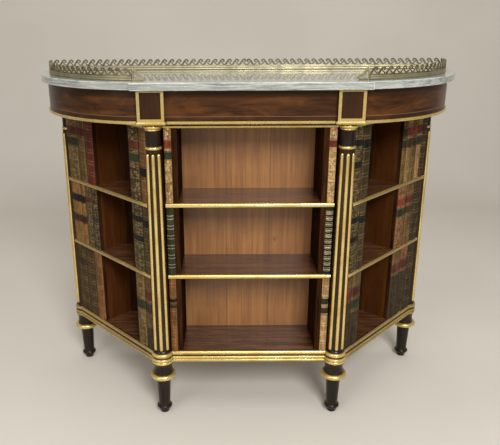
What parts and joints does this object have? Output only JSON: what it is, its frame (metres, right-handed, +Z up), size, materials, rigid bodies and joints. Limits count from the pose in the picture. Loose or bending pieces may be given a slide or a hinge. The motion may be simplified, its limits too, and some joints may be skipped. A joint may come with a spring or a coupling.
{
  "type": "side cabinet",
  "caption": "Regency-style breakfront side cabinet: bowed marble top with pierced brass gallery, gilt-reeded columns, open shelves and panels of false book spines.",
  "frame": {"origin": "On the floor, under the middle of the marble top's outline.", "axes": "+X to the viewer's right along the length, +Y to the back, +Z up."},
  "size_m": [1.134, 0.373, 0.93],
  "materials": {
    "marble": "polished",
    "brass": "aged",
    "gilt": "worn gilding",
    "rosewood": "polished",
    "dark_wood": "polished",
    "back_boards": "satin",
    "book_leather": "aged"
  },
  "bodies": {
    "cabinet": {"base_band_lower": "gilt", "base_band_upper": "gilt", "base_board": "rosewood", "block_frames": "gilt", "carcass_top": "rosewood", "centre_back": "back_boards", "centre_shelf_lower": "rosewood", "centre_shelf_upper": "rosewood", "column_back_left": "dark_wood", "column_back_right": "dark_wood", "column_capitals": "gilt", "column_front_left": "dark_wood", "column_front_right": "dark_wood", "column_neck_rings": "gilt", "column_reeds_back_left": "gilt", "column_reeds_back_right": "gilt", "column_reeds_front_left": "gilt", "column_reeds_front_right": "gilt", "cornice_strips": "gilt", "frieze_bead_centre": "gilt", "frieze_bead_left": "gilt", "frieze_bead_right": "gilt", "frieze_block_left": "rosewood", "frieze_block_right": "rosewood", "frieze_centre": "rosewood", "frieze_left": "rosewood", "frieze_rear_rail": "rosewood", "frieze_right": "rosewood", "left_shelf_lower": "rosewood", "left_shelf_upper": "rosewood", "leg_rings": "gilt", "legs": "dark_wood", "niche_back_left": "rosewood", "niche_back_right": "rosewood", "niche_wall_left": "rosewood", "niche_wall_right": "rosewood", "partition_left": "rosewood", "partition_right": "rosewood", "rear_back": "back_boards", "right_shelf_lower": "rosewood", "right_shelf_upper": "rosewood", "shelf_edge_strips": "gilt", "soffit_board": "rosewood", "spines_centre_left": "book_leather", "spines_centre_right": "book_leather", "spines_inner_left": "book_leather", "spines_inner_right": "book_leather", "spines_outer_left": "book_leather", "spines_outer_right": "book_leather", "sub_top": "rosewood"},
    "top": {"gallery_rail_back": "brass", "gallery_rail_left": "brass", "gallery_rail_right": "brass", "gallery_scroll_back": "brass", "gallery_scroll_left": "brass", "gallery_scroll_right": "brass", "marble_top": "marble"}
  },
  "joints": [
    {"name": "lift_top", "type": "slide", "parent": "cabinet", "child": "top", "axis": [0, 0, 1], "range_m": [0, 0.25]}
  ]
}
